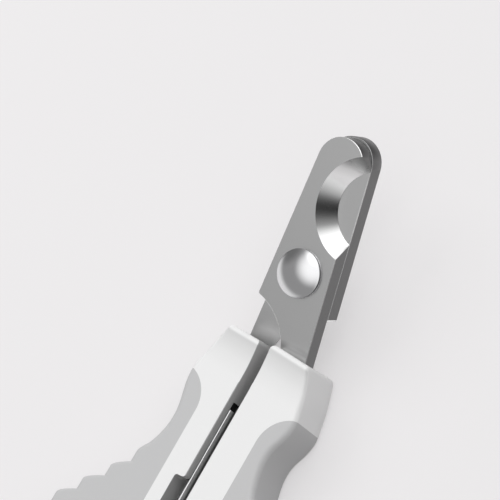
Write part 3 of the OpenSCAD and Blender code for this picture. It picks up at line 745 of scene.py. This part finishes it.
def pin_bore(x, d, r, high):
    """A round hole up from the back."""
    bpy.ops.object.select_all(action="DESELECT")
    bpy.ops.mesh.primitive_cylinder_add(
        vertices=48, radius=r * MM, depth=(high + 2) * MM, location=flat(x, HANDLE_TOP - d, high / 2 - 1))
    return started("pin_bore")


def housing_finish(face, hand, side):
    """Which of a housing's finishes a face takes."""
    near, close = 0.1, 0.02
    x, z, d = abs(face.center.x) / MM, face.center.z / MM, HANDLE_TOP - face.center.y / MM
    # The front face near the top takes the painted shade
    if face.normal.z > 0.5 and z > TOP_END_LEVEL and d < TOP_END_LEN:
        return TOP_END
    # Faces of the file slot take the painted shadow
    in_slot = WALL + 1.5 * close < x < SLOT_DEEP + close and d > SLOT_FROM - near
    if hand == "left" and in_slot and SLOT_FLOOR - near < z < SLOT_ROOF + close:
        return FILE_SLOT
    # Faces of the gap and of the finger notch take the painted shade
    faces_in = face.normal.x * side < -0.3
    in_finger_notch = hand == "left" and FINGER_FLOOR - near < z < THICK - 1 and face.normal.z < 0.5
    if x < WALL + FINGER_DEEP + near and (faces_in or in_finger_notch):
        return INNER_WALL
    return PLAIN


for hand, side in (("left", -1), ("right", 1)):
    start, slope = ASKEW[hand][0] - ASKEW[hand][1] * WALL, ASKEW[hand][1]
    # The top ends take a copy of the white plastic with painted shade
    painted_top_shade = new_finish(hand + "_white_top_painted_shade", WHITE, 0, WHITE_ROUGH)
    shade_along(
        painted_top_shade, (-side * slope, 1, 0), [(HANDLE_TOP + start + rise, grey) for rise, grey in TOP_PAINTED_SHADE])
    body = hand + "_arm"
    housing = handle_form(hand + "_housing_shown", hand, side)
    grip = placed(hand + "_grip_shown", housing.data.copy())
    cut(grip, grip_zone(hand, side), "INTERSECT")
    cut(grip, cover_seat(side))
    cut(housing, grip_zone(hand, side))
    cut(housing, cover_seat(side))
    cut(housing, block(
        "latch_slot", (-PAST_SIDES, HANDLE_TOP - PAST_LATCH, LATCH_FLOOR),
        (PAST_SIDES, HANDLE_TOP - LATCH_FROM, LATCH_ROOF)))
    cut(housing, pin_bore(side * PIN_X, PIN_AT, PIN_R, PIN_TOP[hand]))
    smooth(grip)
    take_place(grip, hand + "_grip", body, "soft_grip", soft_grip)
    if hand == "left":
        cut(housing, block(
            "file_slot", (-SLOT_DEEP, PAST_END, SLOT_FLOOR), (0, HANDLE_TOP - SLOT_FROM, SLOT_ROOF)))
        cut(housing, block(
            "tab_slot", (TAB_BACK - TAB_GAP, PAST_END, TAB_LOW - TAB_GAP),
            (0, HANDLE_TOP - FILE_TO + TAB_GAP, TAB_HIGH + TAB_GAP)))
        cut(housing, finger_notch())
    else:
        cut(housing, block(
            "leaf_recess", (0, HANDLE_TOP - LEAF_TO, LEAF_FLOOR),
            (WALL + LEAF_DEEP, HANDLE_TOP - LEAF_FROM, LEAF_ROOF)))
        pad = block(
            "stop_pad", (-PAD_REACH, HANDLE_TOP - PAD_TO, PAD_FLOOR),
            (WALL + PAD_ROOT, HANDLE_TOP - PAD_FROM, PAD_ROOF))
        cut(housing, pad, "UNION")
    take_place(
        housing, hand + "_housing", body, "white_plastic",
        white_plastic, painted_wall_shade, painted_slot_shadow, painted_top_shade)
    for face in housing.data.polygons:
        face.material_index = housing_finish(face, hand, side)
    smooth(housing)


# ---- nail file with its tab

file_strip = block(
    "nail_file_shown", (FILE_BACK, HANDLE_TOP - FILE_TO, FILE_LOW), (FILE_FRONT, HANDLE_TOP - FILE_FROM, FILE_TOP))


def on_top_edge(corner):
    return corner.co.z > (FILE_TOP - 0.1) * MM and corner.co.x > (FILE_FRONT - 0.1) * MM


def below_slant(corner):
    return (FILE_TOP - 0.3) * MM < corner.co.z < (FILE_TOP - 0.05) * MM


bpy.ops.object.mode_set(mode="EDIT")
choose(file_strip, "EDGE", lambda edge: all(on_top_edge(corner) for corner in edge.verts))
bpy.ops.mesh.bevel(offset_type="OFFSET", offset=FILE_SLANT * MM, segments=1)
choose(file_strip, "VERT", below_slant)
bpy.ops.transform.translate(value=(0, 0, FILE_SLANT_RISE * MM))
bpy.ops.object.mode_set(mode="OBJECT")
take_place(file_strip, "nail_file", "file", "spring_steel", file_steel, file_edge)
for face in file_strip.data.polygons:
    face.material_index = 1 if 0.3 < face.normal.z < 0.98 or face.normal.y > 0.5 else 0
soften(file_strip, 0.02, 20, finish=1)


# ---- pieces from CAD copies

body_of = {node: body for body, held in frame["record"]["behaviour"]["bodies"].items() for node in held}
slot_of = {part["node"]: part["material_slot"] for part in frame["record"]["subparts"]}

# Screw places in each handle: across from the middle, and below the top
SCREWS = {"_tang_screws": ((5.313, 10), (5.313, 27)), "_cover_screws": ((6.42, 62), (10.42, 78.4))}
SCREW_HEAD_LEVEL, SCREW_ROUNDING = 0.2, 0.08
# The leaf spring: its level and its screw's head
SPRING_LEVEL, SPRING_SCREW_X, SPRING_SCREW_AT = 4.1, 1.02, 52


def cad_copy(node):
    """A welded copy of a CAD node's mesh with its flat triangles joined."""
    piece = placed(node + "_shown", nodes[node].data.copy())
    piece.data.materials.clear()
    clean(piece, 0.002)
    return piece


def from_cad(node, finish):
    """A CAD copy that stands for its node."""
    piece = cad_copy(node)
    take_place(piece, node, body_of[node], slot_of[node], finish)
    return piece


def cross_cut(piece, place, way):
    """A cross recess in a screw head, driven in from a place on the head along way."""
    long, narrow, deep = 1.25, 0.3, 0.7
    axes = [Vector(axis) for axis in ((1, 0, 0), (0, 1, 0), (0, 0, 1))]
    across = [axis for axis in axes if abs(axis.dot(way)) < 0.5]
    spans = [across[0] * a + across[1] * b for a, b in ((long, narrow), (narrow, long))]
    first, second = (block("cross", place - span - way, place + span + way * deep) for span in spans)
    cut(first, second, "UNION")
    cut(piece, first)


soften(from_cad("rivet_washer", rivet_steel), 0.12)
soften(from_cad("latch_pin", rivet_steel), 0.15)
soften(from_cad("catch_peg", rivet_steel), 0.15)
soften(from_cad("safety_latch", latch_plastic), 0.35)
for hand, side in (("left", -1), ("right", 1)):
    soften(from_cad(hand + "_back_cover", cover_plastic), 0.25)
    for kind, places in SCREWS.items():
        screws = from_cad(hand + kind, screw_steel)
        for x, d in places:
            cross_cut(screws, Vector((side * x, HANDLE_TOP - d, SCREW_HEAD_LEVEL)), Vector((0, 0, 1)))
        soften(screws, SCREW_ROUNDING)
spring_screw = from_cad("spring_screw", screw_steel)
cross_cut(spring_screw, Vector((SPRING_SCREW_X, HANDLE_TOP - SPRING_SCREW_AT, SPRING_LEVEL)), Vector((1, 0, 0)))
soften(spring_screw, SCREW_ROUNDING)

leaf = cad_copy("leaf_spring")
leaf.data.materials.append(spring_steel)
soften(leaf, 0.1, 60)
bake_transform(leaf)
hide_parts("leaf_spring")

# Grooves across the tab's end, cut with blocks that reach past it
GROOVES, GROOVE_HALF_W, GROOVE_TO = (6.2, 7.5, 8.8), 0.3, 94.9
GROOVE_BACK, GROOVE_END = -4, 96

thumb_tab = block(
    "file_tab_shown", (TAB_BACK, HANDLE_TOP - TAB_TO, TAB_LOW), (FILE_FRONT, HANDLE_TOP - FILE_TO, TAB_HIGH))
for z in GROOVES:
    cut(thumb_tab, block(
        "thumb_groove", (GROOVE_BACK, HANDLE_TOP - GROOVE_END, z - GROOVE_HALF_W),
        (0, HANDLE_TOP - GROOVE_TO, z + GROOVE_HALF_W)))
take_place(thumb_tab, "file_tab", "file", "latch_plastic", latch_plastic)
soften(thumb_tab, 0.15)


# ---- floor, light and camera

PAPER = (0.52, 0.512, 0.516)
PAPER_GLOW, GLOW_SHARE = (1.76, 1.73, 1.745, 1), 0.25

bpy.ops.object.select_all(action="DESELECT")
bpy.ops.mesh.primitive_plane_add(size=6, location=(0, 0, -0.0003))
floor = bpy.context.object
floor.name = "pale_floor"
paper = new_finish("pale_floor_paper", PAPER, 0, 0.9)
paper_shader = shader_of(paper)
paper_shader.inputs["Specular IOR Level"].default_value = 0.1
# To the camera and in reflections a part of the floor's light is plain, which keeps its shadows soft
tree = paper.node_tree
glow = tree.nodes.new("ShaderNodeEmission")
glow.inputs["Color"].default_value = PAPER_GLOW
path = tree.nodes.new("ShaderNodeLightPath")
seen = tree.nodes.new("ShaderNodeMath")
seen.operation = "ADD"
share = tree.nodes.new("ShaderNodeMath")
share.operation = "MULTIPLY"
share.inputs[1].default_value = GLOW_SHARE
blend = tree.nodes.new("ShaderNodeMixShader")
tree.links.new(path.outputs["Is Camera Ray"], seen.inputs[0])
tree.links.new(path.outputs["Is Glossy Ray"], seen.inputs[1])
tree.links.new(seen.outputs[0], share.inputs[0])
tree.links.new(share.outputs[0], blend.inputs[0])
tree.links.new(paper_shader.outputs[0], blend.inputs[1])
tree.links.new(glow.outputs[0], blend.inputs[2])
tree.links.new(blend.outputs[0], tree.nodes["Material Output"].inputs["Surface"])
floor.data.materials.append(paper)

world = bpy.data.worlds.new("studio")
bpy.context.scene.world = world
world.use_nodes = True
sky = world.node_tree
sky_place = sky.nodes.new("ShaderNodeTexCoord")
sky_height = sky.nodes.new("ShaderNodeSeparateXYZ")
sky.links.new(sky_place.outputs["Generated"], sky_height.inputs[0])


def fade(source, start, end, at_start, at_end):
    """A smooth change of light between two values of a direction."""
    change = sky.nodes.new("ShaderNodeMapRange")
    change.interpolation_type = "SMOOTHSTEP"
    for socket, value in zip(("From Min", "From Max", "To Min", "To Max"), (start, end, at_start, at_end)):
        change.inputs[socket].default_value = value
    sky.links.new(source, change.inputs["Value"])
    return change.outputs["Result"]


def patch(way, edge, strength):
    """A soft patch of the sky that adds or takes light, strongest in the given direction."""
    match = sky.nodes.new("ShaderNodeVectorMath")
    match.operation = "DOT_PRODUCT"
    match.inputs[1].default_value = Vector(way).normalized()
    sky.links.new(sky_place.outputs["Generated"], match.inputs[0])
    return fade(match.outputs["Value"], edge, 1.0, 0.0, strength)


def together(first, second):
    total = sky.nodes.new("ShaderNodeMath")
    total.operation = "ADD"
    sky.links.new(first, total.inputs[0])
    sky.links.new(second, total.inputs[1])
    return total.outputs[0]


pale_wall = fade(sky_height.outputs["Z"], 0.0, 0.284, 0.83, 0.31)
top_box = patch((0.158, -0.029, 0.987), 0.63, 0.89)
back_box = patch((0.08, 0.66, 0.75), 0.74, 1.37)
right_flag = patch((0.973, 0.208, 0.10), 0.834, -0.345)
left_flag = patch((-0.90, 0.20, 0.40), 0.85, -0.14)
boxes = together(top_box, back_box)
light = together(together(pale_wall, boxes), together(right_flag, left_flag))
sky.nodes["Background"].inputs["Color"].default_value = (1, 1, 1, 1)
sky.links.new(light, sky.nodes["Background"].inputs["Strength"])

LAMP_PLACE, LAMP_AIM, LAMP_SIZE, LAMP_POWER = (-0.55, 0.25, 0.60), (0, 0.02, 0.01), 0.5, 2.0

bpy.ops.object.light_add(type="AREA", location=LAMP_PLACE)
lamp = bpy.context.object
lamp.name = "left_softbox"
lamp.data.shape = "RECTANGLE"
lamp.data.size = lamp.data.size_y = LAMP_SIZE
lamp.data.energy = LAMP_POWER
lamp.rotation_euler = (Vector(LAMP_AIM) - Vector(LAMP_PLACE)).to_track_quat("-Z", "Y").to_euler()
lamp.visible_glossy = False

# The camera as fitted to the photograph
CAMERA_PLACE = (0.2534, -0.02095, 0.4672)
CAMERA_RIGHT = (0.777, 0.4959, -0.3877)
CAMERA_UP = (-0.3793, 0.8605, 0.3404)
CAMERA_BACK = (0.5024, -0.1174, 0.8567)
CAMERA_LENS, CAMERA_WIDTH = 203.3, 36

camera = placed("photo_camera", bpy.data.cameras.new("photo_camera"))
turn = Matrix((CAMERA_RIGHT, CAMERA_UP, CAMERA_BACK)).transposed()
camera.matrix_world = Matrix.Translation(CAMERA_PLACE) @ turn.to_4x4()
camera.data.lens = CAMERA_LENS
camera.data.sensor_width = CAMERA_WIDTH
camera.data.clip_start = 0.01
bpy.context.scene.camera = camera
bpy.context.scene.view_settings.view_transform = "Standard"
